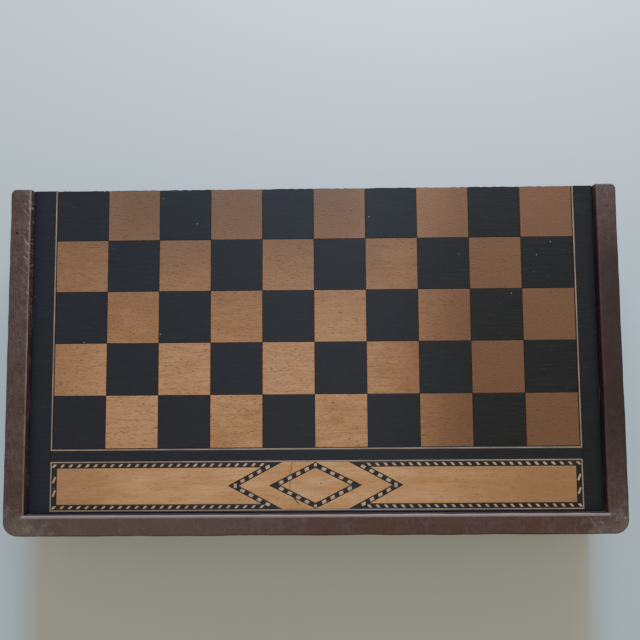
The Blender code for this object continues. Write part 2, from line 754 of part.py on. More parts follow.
def drill_front(rail, radius, height):
    """Holes in a front rail for the screws or the studs, at a height in the tray's frame."""
    for number, x in enumerate(catch_places()):
        hole = rod(radius + GAP, -CATCH_GRIP - COPLANAR_MARGIN, COPLANAR_MARGIN, 16)
        cut(rail, f"catch_hole_{number}", at(along_front(hole), x, FRONT, height))


def guide(name, location, turned_over=False):
    empty = bpy.data.objects.new(name, None)
    empty.location = location
    empty.scale = (1, 1, -1 if turned_over else 1)
    bpy.context.scene.collection.objects.link(empty)
    return empty


def build_tray(tray, parent, first_dark, catch_radius, catch_height):
    rail = front_rail(tray, parent)
    drill_front(rail, catch_radius, catch_height)
    side_rail(tray, parent, -1)
    side_rail(tray, parent, 1)
    back_rail(tray, parent)
    board_panel(tray, parent)
    board_veneers(tray, parent, first_dark)
    inlaid_band(tray, parent)
    point_combs(tray, parent)
    divider(tray, parent)


def main():
    clear_scene()
    lid = guide("lid_on_hinge_axis", (0, AXIS_Y, AXIS_Z))
    base = guide("base_on_hinge_axis", (0, AXIS_Y, AXIS_Z), turned_over=True)
    pivot_height, stud_height = catch_heights()
    build_tray("lid", lid, 0, STUD_RADIUS, stud_height - AXIS_Z)
    build_tray("base", base, 1, PIVOT_RADIUS, AXIS_Z - pivot_height)
    panel_pins("lid", lid)
    men_column("men_light", boxwood(), base, -1)
    men_column("men_dark", ebonised(), base, 1)
    hinges(lid, base)
    front = AXIS_Y + FRONT
    hooks = [
        guide(f"hook_pivot_{number}", (x, front, pivot_height))
        for number, x in enumerate(catch_places())
    ]
    lid_front = guide("stud_line", (0, front, stud_height))
    base_front = guide("screw_line", (0, front, pivot_height))
    catches(lid_front, base_front, hooks)


main()
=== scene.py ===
"""Looks of the folding draughts box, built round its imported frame."""

import math
import random

import bmesh
import bpy
from mathutils import Matrix, Vector, noise


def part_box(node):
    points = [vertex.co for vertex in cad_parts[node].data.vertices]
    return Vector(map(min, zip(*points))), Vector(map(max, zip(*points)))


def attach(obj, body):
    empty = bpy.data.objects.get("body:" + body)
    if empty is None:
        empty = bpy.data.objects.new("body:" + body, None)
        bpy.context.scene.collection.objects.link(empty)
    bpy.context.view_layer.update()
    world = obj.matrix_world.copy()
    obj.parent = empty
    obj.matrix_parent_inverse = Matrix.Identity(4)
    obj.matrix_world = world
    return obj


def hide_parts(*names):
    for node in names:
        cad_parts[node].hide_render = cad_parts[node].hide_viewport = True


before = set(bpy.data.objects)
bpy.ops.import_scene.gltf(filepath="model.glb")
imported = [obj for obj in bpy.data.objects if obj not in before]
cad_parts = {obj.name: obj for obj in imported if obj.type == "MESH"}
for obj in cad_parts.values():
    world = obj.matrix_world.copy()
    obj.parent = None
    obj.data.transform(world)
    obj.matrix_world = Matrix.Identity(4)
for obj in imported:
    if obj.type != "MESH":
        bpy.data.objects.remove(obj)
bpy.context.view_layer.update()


# ---- Rails ------------------------------------------------------------------------------
# Each tray is framed by three mahogany rails that stand above its board. The front rail runs
# the full width, the side rails butt on it, and a hundred years of handling have rounded every
# arris. The base tray is the lid turned over, so pieces are shaped once and mirrored for it.
MM = 0.001
TRAYS = ("lid", "base")
PARTING = (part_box("lid_front_rail")[0].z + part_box("base_front_rail")[1].z) / 2
FRONT_CORNER = 12 * MM
BACK_CORNER = 5 * MM
WORN_ARRIS = 1.8 * MM
RAIL_EDGE = 0.5 * MM
RAIL_WEAR = 0.55 * MM
KNOCK_LENGTH = 6 * MM
KNOCK_DENSITY = 55  # changes of depth to the metre
FACING_LENGTH = 14  # in millimetres, as all values of a finish are
NAIL_HOLE = (-250.3, 107.5)
# Per rail: the rub, the pale inner edge and its width. The wood is worn on all three rails; the strong
# pale edge on the front and left rails is also a painted highlight where light falls on them, and the
# right rail, in less light, gets little.
RAIL_WEAR_AND_LIGHT = {  # wear, bareness of the inner edge, and width of the bare edge
    "front": (1.0, 0.75, 2.5), "left": (1.0, 0.75, 1.1), "right": (0.35, 0.1, 1.1),
}
CLOSE = 0.01 * MM  # two levels this near each other count as one
MERGE = 0.005 * MM  # two points this near each other become one
HAIRLINE = 0.02 * MM  # between faces that touch in the real box
CLEARANCE = 0.05 * MM  # beside a piece that drops in
rim_low, rim_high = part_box("lid_front_rail")
LEFT_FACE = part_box("lid_left_rail")[1].x
RIGHT_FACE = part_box("lid_right_rail")[0].x
FRONT_FACE = rim_high.y
BACK_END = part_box("lid_left_rail")[1].y


class Value:
    """One value in a material, so that shader maths is written as plain expressions."""

    def __init__(self, finish, socket):
        self.finish, self.socket = finish, socket

    def maths(self, operation, *values):
        return self.finish.node("ShaderNodeMath", {"operation": operation}, dict(enumerate(values)))

    def __add__(self, other):
        return self.maths("ADD", self, other)

    def __sub__(self, other):
        return self.maths("SUBTRACT", self, other)

    def __mul__(self, other):
        return self.maths("MULTIPLY", self, other)

    def __truediv__(self, other):
        return self.maths("DIVIDE", self, other)

    def __rsub__(self, other):
        return self.maths("SUBTRACT", other, self)

    __radd__, __rmul__ = __add__, __mul__

    def least(self, other):
        return self.maths("MINIMUM", self, other)

    def most(self, other):
        return self.maths("MAXIMUM", self, other)

    def whole(self):
        return self.maths("FLOOR", self)

    def size(self):
        return self.maths("ABSOLUTE", self)

    def rise(self, start, end, low=0.0, high=1.0):
        """Goes smoothly from low to high as the value goes from start to end."""
        sockets = {0: self, 1: start, 2: end, 3: low, 4: high}
        return self.finish.node("ShaderNodeMapRange", {"interpolation_type": "SMOOTHSTEP"}, sockets)


class Finish:
    """A material, put together from patterns that are measured in millimetres."""

    def __init__(self, name):
        self.material = bpy.data.materials.new(name)
        self.material.use_nodes = True
        self.tree = self.material.node_tree
        self.shader = self.tree.nodes["Principled BSDF"]

    def node(self, kind, settings, sockets, output=0):
        """Adds a node: its settings first, then the values or links of its sockets."""
        made = self.tree.nodes.new(kind)
        for name, setting in settings.items():
            setattr(made, name, setting)
        for name, value in sockets.items():
            self.fill(made.inputs[name], value)
        return Value(self, made.outputs[output])

    def fill(self, socket, value):
        """Links a value to a socket, or sets the socket's own constant."""
        if isinstance(value, Value):
            self.tree.links.new(value.socket, socket)
        elif isinstance(value, tuple) and socket.type == "RGBA":
            socket.default_value = (*value, 1.0)
        else:
            socket.default_value = value

    def place(self):
        """Where a point lies on its piece, in millimetres."""
        place = self.node("ShaderNodeTexCoord", {}, {}, "Object")
        return self.vector("MULTIPLY", place, (1 / MM, 1 / MM, 1 / MM))

    def vector(self, operation, first, second):
        sockets = {0: first, 1: second}
        return self.node("ShaderNodeVectorMath", {"operation": operation}, sockets)

    def axis(self, place, axis):
        return self.node("ShaderNodeSeparateXYZ", {}, {0: place}, "XYZ".index(axis))

    def noise(self, place, size, detail=3.0, roughness=0.55, distortion=0.0):
        """Noise whose lumps measure about size along X, Y and Z, in millimetres."""
        place = self.vector("DIVIDE", place, size)
        sockets = {
            "Vector": place, "Scale": 1.0, "Detail": detail,
            "Roughness": roughness, "Distortion": distortion,
        }
        return self.node("ShaderNodeTexNoise", {}, sockets)

    def bent(self, place, size, detail, depth):
        """Places moved along Y by up to about a depth, so that straight grain waves."""
        wave = self.noise(place, size, detail) * depth
        return self.vector("ADD", place, self.node("ShaderNodeCombineXYZ", {}, {1: wave}))

    def specks(self, place, spacing, radius, share):
        """Small round specks, about one to each cell of that spacing, of which a share show."""
        settings = {"voronoi_dimensions": "3D"}
        sockets = {"Vector": place, "Scale": 1 / spacing}
        near = self.node("ShaderNodeTexVoronoi", settings, sockets, "Distance")
        lot = self.node("ShaderNodeTexVoronoi", settings, sockets, "Color")
        lot = self.node("ShaderNodeSeparateColor", {}, {0: lot}, 0)
        return near.rise(radius / spacing, radius / spacing * 0.5) * lot.rise(share, share * 0.95)

    def mix(self, amount, first, second):
        sockets = {0: amount, 6: first, 7: second}
        return self.node("ShaderNodeMix", {"data_type": "RGBA"}, sockets, 2)

    def use(self, colour, roughness, height=None, depth=0.1 * MM, **constants):
        """Sets the shader's inputs, with an optional bump of that depth."""
        self.fill(self.shader.inputs["Base Color"], colour)
        self.fill(self.shader.inputs["Roughness"], roughness)
        if height is not None:
            bump = self.node("ShaderNodeBump", {}, {"Height": height, "Distance": depth, "Strength": 1.0})
            self.fill(self.shader.inputs["Normal"], bump)
        for name, value in constants.items():
            self.fill(self.shader.inputs[name.replace("_", " ")], value)
        return self.material


def mahogany(finish, place, grain):
    """The colour of dark mahogany whose grain runs along X or Y, and its fine figure."""
    fine = finish.noise(place, tuple(1.3 if axis != grain else 9 for axis in "XYZ"), 4, 0.65)
    cloud = finish.noise(place, (30, 24, 17), 3)
    mottle = finish.noise(place, (4, 5, 4), 4, 0.75)
    share = fine.rise(0.25, 0.75) * 0.45 + mottle.rise(0.3, 0.7) * 0.55
    colour = finish.mix(share, (0.060, 0.026, 0.022), (0.160, 0.077, 0.063))
    return finish.mix(cloud.rise(0.4, 0.7) * 0.6, colour, (0.088, 0.033, 0.023)), fine


def wall_distance(finish, place):
    """How far a point on a rail's top is from the nearest outer face, and from the inner ones."""
    x, y = finish.axis(place, "X"), finish.axis(place, "Y")
    inner = (LEFT_FACE / MM - x).most(x - RIGHT_FACE / MM).most(FRONT_FACE / MM - y).most(0)
    outer = (x - rim_low.x / MM).least(rim_high.x / MM - x)
    outer = outer.least(y - rim_low.y / MM).least(BACK_END / MM - y).most(0)
    return outer, inner


def rail_tones(finish, place, side):
    """A rail's wood before wear, its fine figure and its darker streaks, with painted light on the front
    rail's left and painted shade along the right rail.
    """
    x, y = finish.axis(place, "X"), finish.axis(place, "Y")
    colour, fine = mahogany(finish, place, "Y")
    dark = finish.noise(place, (3.2, 2.2, 3.2), 3, 0.7)
    colour = finish.mix(dark.rise(0.52, 0.68) * 0.6, colour, (0.034, 0.015, 0.012))
    if side == "front":
        # The front rail is faced with short pieces of crossbanding, each of its own tone.
        stretch = finish.noise(place, (60, 400, 400), 1) * 60
        number = ((x + stretch) / FACING_LENGTH).whole()
        tone = finish.node("ShaderNodeTexWhiteNoise", {"noise_dimensions": "1D"}, {"W": number})
        colour = finish.mix(tone * x.size().rise(245, 215) * 0.85, colour, (0.098, 0.034, 0.023))
        # Paler towards the left end: painted light, as more light falls on the left of the box than on
        # its right.
        colour = finish.mix(x.rise(40, -120) * 0.35, colour, (0.150, 0.098, 0.085))
    if side == "right":
        # The right rail darker along its middle: painted shade, where less light reaches that side of the
        # box.
        shade = y.rise(135, 70) * y.rise(-140, -50)
        colour = finish.mix(shade * 0.7, colour, (0.023, 0.005, 0.005))
    return colour, fine, dark


def rail_wood(tray, side):
    """Handled mahogany: rubbed pale on its arrises, grey at the front corners, and scuffed, with painted
    shade on its inner faces and a painted highlight along the inner edge of the front and left rails.
    """
    finish = Finish(f"mahogany_{tray}_{side}")
    place = finish.place()
    x, y, z = (finish.axis(place, axis) for axis in "XYZ")
    colour, fine, dark = rail_tones(finish, place, side)
    blotch = finish.noise(place, (8, 8, 8), 4, 0.7)
    grit = finish.noise(place, (0.8, 0.8, 0.8), 2, 0.8)
    wear, bareness_and_highlight, pale_edge_width = RAIL_WEAR_AND_LIGHT[side]

    outer, inner = wall_distance(finish, place)
    below_top = (rim_high.z - PARTING) / MM - (z - PARTING / MM).size()
    on_top = below_top.rise(2.0, 0.8)
    edge = outer.least(inner) + below_top.rise(-0.3, 3.2, 0, 9)
    rubbed = (edge.rise(2.8, 0.3) * 0.6 + blotch * 0.7 + grit * 0.25).rise(0.75, 1.05)
    colour = finish.mix(rubbed * 0.5 * wear, colour, (0.30, 0.185, 0.130))

    near_corner = (x.size() - rim_high.x / MM).size() + (y - rim_low.y / MM).size() * 2.2
    grey = (near_corner.rise(95, 5) * 0.4 + blotch * 0.9 + grit * 0.3).rise(0.75, 1.0)
    colour = finish.mix(grey * 0.6, colour, (0.190, 0.125, 0.092))

    # The inner faces below the top darkened almost to black: painted shade, where the rail stands over
    # the board.
    painted_inner_shade = inner.rise(0.5, 0.1) * (1 - on_top)
    colour = finish.mix(painted_inner_shade * 0.65, colour, (0.020, 0.010, 0.010))
    # A pale band along the inner edge of the top: a worn arris, strengthened into a painted highlight on
    # the front and left rails.
    bare_and_highlight = (inner + blotch * 1.5).rise(pale_edge_width + 1.1, pale_edge_width) * on_top
    colour = finish.mix(bare_and_highlight * bareness_and_highlight, colour, (0.34, 0.20, 0.155))

    turned = finish.node("ShaderNodeMapping", {}, {"Vector": place, "Rotation": (0, 0, 0.9)})
    scratch = finish.noise(turned, (6, 0.7, 6), 3, 0.65, 0.6).rise(0.55, 0.66)
    where = blotch.rise(0.48, 0.60) * near_corner.rise(90, 20, 0.15, 1.0)
    if side == "left":
        where = where.most(y.rise(10, 90) * inner.rise(9, 2) * 0.9)
    colour = finish.mix(scratch * where * wear * 0.8, colour, (0.46, 0.34, 0.29))
    chips = finish.specks(place, 5, 0.5, 0.35)
    colour = finish.mix(chips * 0.45 * wear, colour, (0.45, 0.33, 0.28))

    height = fine * 0.3 + grit * 0.3 + blotch * 0.6 + dark * 0.3
    if (tray, side) == ("lid", "left"):
        # An old nail hole, painted near black for the shade inside it, over a dent in the bump.
        hole_x, hole_y = NAIL_HOLE
        hole = ((x - hole_x).size() + (y - hole_y).size()).rise(1.7, 1.1)
        colour = finish.mix(hole, colour, (0.004, 0.003, 0.003))
        height = height - hole * 2
    return finish.use(colour, 0.46 + fine * 0.12 + rubbed * 0.15, height, 0.28 * MM)


def thickened(shape, height):
    """Raises flat faces into closed slabs."""
    grown = bmesh.ops.extrude_face_region(shape, geom=shape.faces[:])
    lifted = [part for part in grown["geom"] if isinstance(part, bmesh.types.BMVert)]
    bmesh.ops.translate(shape, vec=(0, 0, height), verts=lifted)
    bmesh.ops.recalc_face_normals(shape, faces=shape.faces)


def slab(outline, bottom, height):
    """A flat outline as a closed slab."""
    shape = bmesh.new()
    shape.faces.new([shape.verts.new((x, y, bottom)) for x, y in outline])
    thickened(shape, height)
    return shape


def eased(shape, edges, radius, steps):
    """Rounds some edges."""
    bmesh.ops.bevel(
        shape, geom=edges, offset=radius, offset_type="OFFSET", segments=steps,
        profile=0.5, affect="EDGES", clamp_overlap=True, material=-1,
    )


def chosen_edges(shape, test):
    """The edges that a test chooses by their two ends."""
    return [edge for edge in shape.edges if test(*(corner.co for corner in edge.verts))]


def level(axis, value):
    """A test for edges whose ends both lie at one value of X, Y or Z."""
    index = "XYZ".index(axis)
    return lambda a, b: abs(a[index] - value) < CLOSE and abs(b[index] - value) < CLOSE


def rounded(shape, radius, steps, test):
    """Rounds the edges that a test chooses."""
    eased(shape, chosen_edges(shape, test), radius, steps)


def sliced(shape, axis, step):
    """Cuts loops across a shape, so that it can be worn unevenly along its length."""
    index = "XYZ".index(axis)
    normal = Vector([index == i for i in range(3)])
    places = sorted(corner.co[index] for corner in shape.verts)
    count = int((places[-1] - places[0]) / step)
    for number in range(1, count):
        point = normal * (places[0] + (places[-1] - places[0]) * number / count)
        parts = shape.verts[:] + shape.edges[:] + shape.faces[:]
        bmesh.ops.bisect_plane(shape, geom=parts, dist=HAIRLINE, plane_co=point, plane_no=normal)


def clamped(value):
    return min(1, max(0, value))


def weathered(shape, depth, joint):
    """Presses the surface in by up to a depth, as knocks leave it, but not out of line at a joint."""
    shape.normal_update()
    for corner in shape.verts:
        inwards = -corner.normal
        if abs(corner.co.y - joint) < CLEARANCE:
            inwards.y = 0
            inwards = inwards.normalized()
        wear = 0.35 + 0.9 * noise.noise(corner.co * KNOCK_DENSITY + Vector((7.3, 2.1, 0)))
        corner.co += inwards * depth * clamped(wear)


def turned_over(shape):
    """Mirrors a piece of the lid into its place in the base tray."""
    flip = Matrix.Translation((0, 0, 2 * PARTING)) @ Matrix.Scale(-1, 4, (0, 0, 1))
    bmesh.ops.transform(shape, matrix=flip, verts=shape.verts)
    bmesh.ops.reverse_faces(shape, faces=shape.faces)
    return shape


def fixed(name, shape, material, slot, body, *nodes, smooth=40):
    """Makes a shape into a named piece that rides on a body and stands for CAD nodes."""
    mesh = bpy.data.meshes.new(name)
    shape.to_mesh(mesh)
    shape.free()
    mesh.materials.append(material)
    mesh.shade_smooth()
    mesh.set_sharp_from_angle(angle=math.radians(smooth))
    piece = bpy.data.objects.new(name, mesh)
    bpy.context.scene.collection.objects.link(piece)
    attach(piece, body)
    if nodes:
        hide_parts(*nodes)
    return piece


def even_shading(piece):
    """Keeps the flats flat where they meet rounded arrises."""
    weighted = piece.modifiers.new("even_shading", "WEIGHTED_NORMAL")
    weighted.keep_sharp = True
    return piece


def rim_shape():
    """The three rails in one piece, with every arris worn, before they are cut at their joints."""
    low, high = rim_low, rim_high
    plan = [
        (low.x, low.y), (high.x, low.y), (high.x, BACK_END), (RIGHT_FACE, BACK_END),
        (RIGHT_FACE, FRONT_FACE), (LEFT_FACE, FRONT_FACE), (LEFT_FACE, BACK_END), (low.x, BACK_END),
    ]
    shape = slab(plan, low.z, high.z - low.z)
    for y, radius, steps in ((low.y, FRONT_CORNER, 10), (BACK_END, BACK_CORNER, 6)):
        here = level("Y", y)
        outer = lambda a, b: here(a, b) and a.x == b.x and abs(a.x) > high.x - CLOSE
        rounded(shape, radius, steps, outer)
    rounded(shape, WORN_ARRIS, 4, level("Z", high.z))
    rounded(shape, RAIL_EDGE, 2, level("Z", low.z))
    return shape


def cut_off(shape, place, outwards):
    """Takes away all that lies beyond a plane and closes the cut."""
    parts = shape.verts[:] + shape.edges[:] + shape.faces[:]
    bmesh.ops.bisect_plane(
        shape, geom=parts, dist=MERGE, plane_co=place, plane_no=outwards, clear_outer=True
    )
    cut_edges = [edge for edge in shape.edges if edge.is_boundary]
    bmesh.ops.holes_fill(shape, edges=cut_edges, sides=0)
    bmesh.ops.recalc_face_normals(shape, faces=shape.faces)


def rail_shape(side):
    """One rail: the front one runs the full width, and a side one butts on it."""
    shape = rim_shape()
    if side == "front":
        cut_off(shape, (0, FRONT_FACE, 0), (0, 1, 0))
    else:
        cut_off(shape, (0, FRONT_FACE + HAIRLINE, 0), (0, -1, 0))
        cut_off(shape, (0, 0, 0), (1 if side == "left" else -1, 0, 0))
    sliced(shape, "X" if side == "front" else "Y", KNOCK_LENGTH)
    weathered(shape, RAIL_WEAR, FRONT_FACE)
    return shape


for tray in TRAYS:
    for side in ("front", "left", "right"):
        shape = rail_shape(side)
        if tray == "base":
            turned_over(shape)
        node = f"{tray}_{side}_rail"
        even_shading(fixed(f"{node}_wood", shape, rail_wood(tray, side), "mahogany", tray, node))


# ---- Back rails ---------------------------------------------------------------------------
# A back rail lies under the back edge of each board, let in between the side rails. It is the
# same mahogany, with its two hinge mortises, and has seen less light than the other rails.
def plain_mahogany(name, grain):
    finish = Finish(name)
    place = finish.place()
    colour, fine = mahogany(finish, place, grain)
    blotch = finish.noise(place, (12, 9, 9), 4, 0.7)
    colour = finish.mix(blotch.rise(0.52, 0.75) * 0.4, colour, (0.12, 0.066, 0.048))
    return finish.use(colour, 0.42 + fine * 0.14, fine + blotch * 0.4, 0.15 * MM)


def coat(node, material):
    """Gives a CAD node its finish, where its plain shape is also the real one."""
    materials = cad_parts[node].data.materials
    materials.clear()
    materials.append(material)


back_wood = plain_mahogany("mahogany_back", "X")
for tray in TRAYS:
    coat(f"{tray}_back_rail", back_wood)


# ---- Panels -------------------------------------------------------------------------------
# The board's panel is softwood, with its tongues in the rails' grooves. Only its back edge
# shows, where the black veneer has chipped away along the corner.
def deal():
    finish = Finish("deal")
    place = finish.place()
    bands = finish.noise(place, (90, 2.6, 3.2), 2, 0.4)
    fine = finish.noise(place, (12, 0.7, 0.7), 3)
    colour = finish.mix(bands.rise(0.42, 0.62), (0.40, 0.27, 0.155), (0.27, 0.155, 0.080))
    colour = finish.mix(fine * 0.4, colour, (0.22, 0.13, 0.07))
    return finish.use(colour, 0.7, fine, 0.1 * MM)


deal_wood = deal()
for tray in TRAYS:
    coat(f"{tray}_panel", deal_wood)


# ---- Black surround -----------------------------------------------------------------------
# Pear or lime veneer, stained black all through, runs beside the squares and round the band.
# It lies on a bed of dark glue, which shows in every joint as a line darker than the wood.
BOARD_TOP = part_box("lid_surround")[1].z
SHEET = 0.9 * MM
JOINT = 0.3 * MM
VENEER_EDGE = 0.12 * MM
EDGE_CHIPS = 1.0 * MM


def black_stain(name, left, right):
    """Black stained veneer, darker towards the right as painted shade: faint grey streaks, fine scratches
    and a few pale specks.
    """
    finish = Finish(name)
    place = finish.place()
    streaks = finish.noise(place, (26, 1.2, 20), 4, 0.6)
    cloud = finish.noise(place, (48, 30, 40), 2)
    scratches = finish.noise(place, (7, 0.8, 7), 2, 0.5, 0.4)
    # From the left colour to the right one: the right is darker, a painted shade, where less light falls
    # on the box.
    colour = finish.mix(finish.axis(place, "X").rise(40, 150) + cloud * 0.3 - 0.15, left, right)
    colour = finish.mix(streaks.rise(0.45, 0.8) * 0.35, colour, (0.036, 0.033, 0.036))
    colour = finish.mix(scratches.rise(0.64, 0.78) * 0.25, colour, (0.13, 0.12, 0.12))
    specks = finish.specks(place, 11, 0.6, 0.45)
    colour = finish.mix(specks * 0.8, colour, (0.36, 0.33, 0.30))
    roughness = 0.36 + streaks * 0.16 + specks * 0.2
    return finish.use(colour, roughness, streaks + scratches * 0.4, 0.03 * MM)


def sheet(outline, top, thickness=SHEET):
    """A flat outline as a closed sheet of veneer, its upper edges eased."""
    shape = slab(outline, top - thickness, thickness)
    rounded(shape, VENEER_EDGE, 1, level("Z", top))
    return shape


def rectangle(left, right, front, back):
    return [(left, front), (right, front), (right, back), (left, back)]


def together(shapes):
    """Several shapes as one."""
    whole = bmesh.new()
    for shape in shapes:
        mesh = bpy.data.meshes.new("part")
        shape.to_mesh(mesh)
        shape.free()
        whole.from_mesh(mesh)
        bpy.data.meshes.remove(mesh)
    return whole


def on_both_trays(name, make, material, slot, *replaced, smooth=40):
    """Fixes a piece to the lid and its mirror image to the base tray."""
    for tray in TRAYS:
        shape = make()
        if tray == "base":
            turned_over(shape)
        nodes = [f"{tray}_{node}" for node in replaced]
        fixed(f"{tray}_{name}", shape, material, slot, tray, *nodes, smooth=smooth)


field_low, field_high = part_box("lid_field_string")
band_low, band_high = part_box("lid_band_string")
round_low, round_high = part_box("lid_surround")
panel_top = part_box("lid_panel")[1].z
bed_back = round_high.y - 2 * EDGE_CHIPS


def surround_shape():
    half = JOINT / 2
    left, right = round_low.x + half, round_high.x - half
    strips = [
        rectangle(left, field_low.x - half, round_low.y, round_high.y),
        rectangle(field_high.x + half, right, round_low.y, round_high.y),
        rectangle(field_low.x, field_high.x, band_high.y + half, field_low.y - half),
        rectangle(field_low.x, field_high.x, round_low.y, band_low.y - half),
    ]
    return together([sheet(strip, BOARD_TOP) for strip in strips])


def glue_bed_shape():
    outline = rectangle(round_low.x, round_high.x, round_low.y, bed_back)
    return sheet(outline, BOARD_TOP - SHEET, BOARD_TOP - SHEET - panel_top)


def core_edge_shape():
    """The board's bare core along its back edge, under the chipped ends of the veneers."""
    outline = rectangle(round_low.x, round_high.x, bed_back + CLEARANCE, round_high.y)
    top = BOARD_TOP - SHEET - HAIRLINE
    return sheet(outline, top, top - panel_top)


def glue():
    finish = Finish("dark_glue")
    lumps = finish.noise(finish.place(), (2, 2, 2), 2)
    colour = finish.mix(lumps, (0.010, 0.008, 0.007), (0.022, 0.014, 0.010))
    return finish.use(colour, 0.6)


surround_black = black_stain("black_surround", (0.0100, 0.0105, 0.0185), (0.0080, 0.0065, 0.0095))
on_both_trays("surround_sheets", surround_shape, surround_black, "black_veneer", "surround")
on_both_trays("glue_bed", glue_bed_shape, glue(), "black_veneer")
on_both_trays("core_edge", core_edge_shape, deal_wood, "deal")


# ---- Strings ------------------------------------------------------------------------------
# Narrow lines of boxwood, mitred at the corners. One runs round three sides of the squares,
# with a black line inside it, and one runs right round the band.
STRING = 1.05 * MM
BLACK_LINE = 0.55 * MM


def string_wood(name, paleness):
    finish = Finish(name)
    place = finish.place()
    tone = finish.noise(place, (24, 24, 24), 3)
    fine = finish.noise(place, (1.5, 1.5, 1.5), 2)
    handled_and_painted_light = tuple(part * paleness for part in (0.33, 0.185, 0.115))
    clean = tuple(part * paleness for part in (0.44, 0.26, 0.165))
    colour = finish.mix(tone.rise(0.35, 0.65), handled_and_painted_light, clean)
    colour = finish.mix(fine.rise(0.55, 0.8) * 0.5, colour, (0.20, 0.12, 0.07))
    return finish.use(colour, 0.5)


def field_string_shape():
    left, right, front, back = field_low.x, field_high.x, field_low.y, field_high.y
    near = front + STRING
    return together([
        sheet([(left, front), (left + STRING, near), (left + STRING, back), (left, back)], BOARD_TOP),
        sheet([(right, back), (right - STRING, back), (right - STRING, near), (right, front)], BOARD_TOP),
        sheet([(left, front), (right, front), (right - STRING, near), (left + STRING, near)], BOARD_TOP),
    ])


def runs(outer, inner):
    """The strips between two outlines, mitred where they meet."""
    following = [*range(1, len(outer)), 0]
    return [[outer[i], outer[j], inner[j], inner[i]] for i, j in enumerate(following)]


def band_string_shape():
    outer = rectangle(band_low.x, band_high.x, band_low.y, band_high.y)
    inner = rectangle(
        band_low.x + STRING, band_high.x - STRING, band_low.y + STRING, band_high.y - STRING
    )
    return together([sheet(side, BOARD_TOP) for side in runs(outer, inner)])


def black_line_shape():
    left, right = field_low.x + STRING + VENEER_EDGE, field_high.x - STRING - VENEER_EDGE
    front = field_low.y + STRING + VENEER_EDGE
    top = BOARD_TOP - HAIRLINE
    return together([
        sheet(rectangle(left, right, front, front + BLACK_LINE), top),
        sheet(rectangle(left, left + BLACK_LINE, front + BLACK_LINE, field_high.y), top),
        sheet(rectangle(right - BLACK_LINE, right, front + BLACK_LINE, field_high.y), top),
    ])


stringing = string_wood("boxwood_string", 1.0)
on_both_trays("field_string_wood", field_string_shape, stringing, "string_wood", "field_string")
on_both_trays("band_string_wood", band_string_shape, stringing, "string_wood", "band_string")
line_black = black_stain("black_line", (0.013, 0.012, 0.013), (0.009, 0.007, 0.008))
on_both_trays("black_line", black_line_shape, line_black, "black_veneer")


# ---- Squares ------------------------------------------------------------------------------
# Ten by five squares of veneer on each tray, light and black in turn, all with their grain
# along the rows. Each light square was cut from another spot of the sheet and keeps its tone.
COLUMNS, ROWS = 10, 5
SQUARE_MARGIN = 0.3 * MM  # that the CAD's squares leave at each side
CHIP_POINTS = 22  # along the back edge of each square
FINE_NICKS, WIDE_NICKS = 260, 60  # to the metre
WORN_FROM, WORN_WITHIN = -170 * MM, 30 * MM
squares_low, squares_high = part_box("lid_dark_squares")
SQUARE = (squares_high.x - squares_low.x + 2 * SQUARE_MARGIN) / COLUMNS
field_left = (squares_low.x + squares_high.x - COLUMNS * SQUARE) / 2
field_back = round_high.y
field_front = field_back - ROWS * SQUARE


def chipping(x, seed):
    """How deep the back edge is chipped at one place: deeper at the left end."""
    fine = noise.noise(Vector((x * FINE_NICKS, seed, 0)))
    wide = noise.noise(Vector((x * WIDE_NICKS, seed, 5)))
    left = clamped((WORN_FROM - x) / WORN_WITHIN)
    return EDGE_CHIPS * clamped(0.2 + 0.3 * left + 0.8 * (fine + wide))


def squares_shape(parity, seed):
    """Every second square of the grid, each with its own tone and figure."""
    lots = random.Random(seed)
    shape = bmesh.new()
    bmesh.ops.create_grid(shape, x_segments=COLUMNS, y_segments=ROWS, size=0.5)
    bmesh.ops.scale(shape, vec=(COLUMNS * SQUARE, ROWS * SQUARE, 1), verts=shape.verts)
    middle = (field_left + COLUMNS * SQUARE / 2, (field_back + field_front) / 2, BOARD_TOP - SHEET)
    bmesh.ops.translate(shape, vec=middle, verts=shape.verts)
    others = []
    for face in shape.faces:
        column = int((face.calc_center_median().x - field_left) / SQUARE)
        row = int((field_back - face.calc_center_median().y) / SQUARE)
        if (column + row) % 2 != parity:
            others.append(face)
    bmesh.ops.delete(shape, geom=others, context="FACES")
    bmesh.ops.split_edges(shape, edges=shape.edges)
    rims = bmesh.ops.inset_individual(
        shape, faces=shape.faces, thickness=JOINT / 2, use_even_offset=True
    )
    bmesh.ops.delete(shape, geom=rims["faces"], context="FACES")
    back_edges = chosen_edges(shape, level("Y", field_back - JOINT / 2))
    bmesh.ops.subdivide_edges(shape, edges=back_edges, cuts=CHIP_POINTS)
    for corner in shape.verts:
        if abs(corner.co.y - field_back) < JOINT:
            corner.co.y += JOINT / 2 - chipping(corner.co.x, seed)
    tone = shape.faces.layers.float.new("tone")
    figure = shape.faces.layers.float.new("figure")
    for face in shape.faces:
        face[tone], face[figure] = lots.uniform(-1, 1), lots.uniform(0, 50)
    thickened(shape, SHEET)
    rounded(shape, VENEER_EDGE, 1, level("Z", BOARD_TOP))
    return shape


